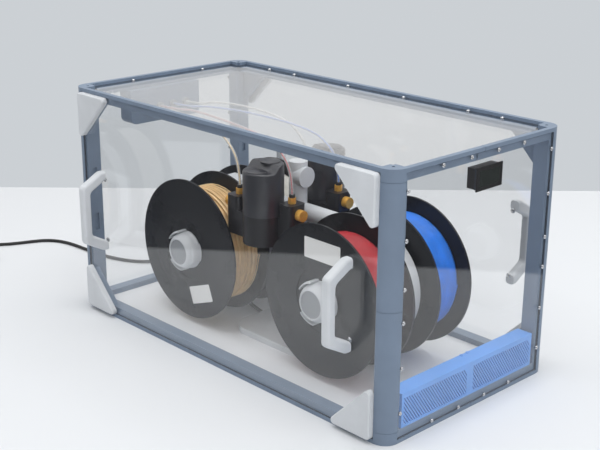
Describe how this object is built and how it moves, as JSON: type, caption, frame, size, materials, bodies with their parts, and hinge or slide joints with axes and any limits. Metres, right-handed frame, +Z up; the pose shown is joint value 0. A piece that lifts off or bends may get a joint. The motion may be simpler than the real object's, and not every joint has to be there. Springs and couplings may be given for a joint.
{
  "type": "filament dryer box",
  "caption": "Long clear-walled filament dryer box on a printed frame, with lift-off handled doors, hygrometer, desiccant box and an inner feeder that turns its spools.",
  "frame": {"origin": "middle of the underside of the base frame", "axes": "X along the long front, Y from front to back, Z up"},
  "size_m": [0.9826, 0.4276, 0.33],
  "materials": {
    "slate_print": "matte 3D-printed slate grey plastic",
    "clear_acrylic": "clear acrylic sheet",
    "white_print": "matte white printed plastic",
    "bright_steel": "bright plated steel",
    "meter_black": "black moulded plastic",
    "meter_glass": "dark display window",
    "blue_print": "blue printed plastic",
    "white_moulded": "white moulded plastic",
    "charcoal": "charcoal textured plastic",
    "brass": "plain brass",
    "collet_black": "black",
    "reel_black": "black satin plastic",
    "filament_tan": "tan filament",
    "filament_red": "red filament",
    "filament_blue": "blue filament",
    "filament_pale": "pale filament",
    "tube_clear": "translucent tube",
    "cable_black": "black cable sheath"
  },
  "bodies": {
    "enclosure": {"top_corner_front_right": "slate_print", "top_corner_front_left": "slate_print", "top_corner_back_right": "slate_print", "top_corner_back_left": "slate_print", "base_corner_front_right": "slate_print", "base_corner_front_left": "slate_print", "base_corner_back_right": "slate_print", "base_corner_back_left": "slate_print", "mid_rails": "slate_print", "lower_posts": "slate_print", "upper_posts": "slate_print", "outlet_block": "slate_print", "top_panel": "clear_acrylic", "floor_panel": "clear_acrylic", "left_panel": "clear_acrylic", "right_panel": "clear_acrylic", "panel_screws": "bright_steel", "frame_magnets": "bright_steel", "hygrometer_case": "meter_black", "hygrometer_window": "meter_glass", "unit_stand": "white_moulded", "hub_housings": "white_moulded", "gearboxes": "charcoal", "motor_covers": "charcoal", "port_fittings": "brass", "outlet_couplers": "brass", "port_collets": "collet_black", "cable_grommet": "collet_black", "feed_tubes": "tube_clear", "power_cord": "cable_black", "inner_lead": "cable_black", "cord_coil": "cable_black", "cord_tie": "cable_black", "cord_plug": "cable_black"},
    "front_door": {"front_panel": "clear_acrylic", "front_corner_plates": "white_print", "front_handles": "white_print", "front_hardware": "bright_steel"},
    "back_door": {"back_panel": "clear_acrylic", "back_corner_plates": "white_print", "back_handles": "white_print", "back_hardware": "bright_steel"},
    "desiccant": {"desiccant_box": "blue_print"},
    "desiccant_cover": {"desiccant_lid": "blue_print"},
    "spool_front_left": {"hub_front_left": "white_moulded", "reel_front_left": "reel_black", "filament_front_left": "filament_tan"},
    "spool_front_right": {"hub_front_right": "white_moulded", "reel_front_right": "reel_black", "filament_front_right": "filament_red"},
    "spool_back_left": {"hub_back_left": "white_moulded", "reel_back_left": "reel_black", "filament_back_left": "filament_pale"},
    "spool_back_right": {"hub_back_right": "white_moulded", "reel_back_right": "reel_black", "filament_back_right": "filament_blue"},
    "knob_front_left": {"tension_knob_front_left": "brass"},
    "knob_front_right": {"tension_knob_front_right": "brass"},
    "knob_back_left": {"tension_knob_back_left": "brass"},
    "knob_back_right": {"tension_knob_back_right": "brass"}
  },
  "joints": [
    {"name": "front_door_off", "type": "slide", "parent": "enclosure", "child": "front_door", "axis": [0, -1, 0], "range_m": [0, 0.15]},
    {"name": "back_door_off", "type": "slide", "parent": "enclosure", "child": "back_door", "axis": [0, 1, 0], "range_m": [0, 0.15]},
    {"name": "desiccant_lift", "type": "slide", "parent": "enclosure", "child": "desiccant", "axis": [0, 0, 1], "range_m": [0, 0.12]},
    {"name": "desiccant_lid_lift", "type": "slide", "parent": "desiccant", "child": "desiccant_cover", "axis": [0, 0, 1], "range_m": [0, 0.04]},
    {"name": "spool_front_left_spin", "type": "hinge", "parent": "enclosure", "child": "spool_front_left", "pos_m": [-0.125, -0.011, 0.117], "axis": [0, 1, 0], "continuous": true},
    {"name": "spool_front_right_spin", "type": "hinge", "parent": "enclosure", "child": "spool_front_right", "pos_m": [0.138, -0.011, 0.117], "axis": [0, 1, 0], "continuous": true},
    {"name": "spool_back_left_spin", "type": "hinge", "parent": "enclosure", "child": "spool_back_left", "pos_m": [-0.125, -0.011, 0.117], "axis": [0, 1, 0], "continuous": true},
    {"name": "spool_back_right_spin", "type": "hinge", "parent": "enclosure", "child": "spool_back_right", "pos_m": [0.138, -0.011, 0.117], "axis": [0, 1, 0], "continuous": true},
    {"name": "knob_front_left_turn", "type": "hinge", "parent": "enclosure", "child": "knob_front_left", "pos_m": [-0.057, -0.074, 0.2], "axis": [-1, 0, 0], "range_deg": [-180, 180]},
    {"name": "knob_front_right_turn", "type": "hinge", "parent": "enclosure", "child": "knob_front_right", "pos_m": [0.057, -0.054, 0.2], "axis": [1, 0, 0], "range_deg": [-180, 180]},
    {"name": "knob_back_left_turn", "type": "hinge", "parent": "enclosure", "child": "knob_back_left", "pos_m": [-0.057, 0.052, 0.2], "axis": [-1, 0, 0], "range_deg": [-180, 180]},
    {"name": "knob_back_right_turn", "type": "hinge", "parent": "enclosure", "child": "knob_back_right", "pos_m": [0.057, 0.032, 0.2], "axis": [1, 0, 0], "range_deg": [-180, 180]}
  ]
}
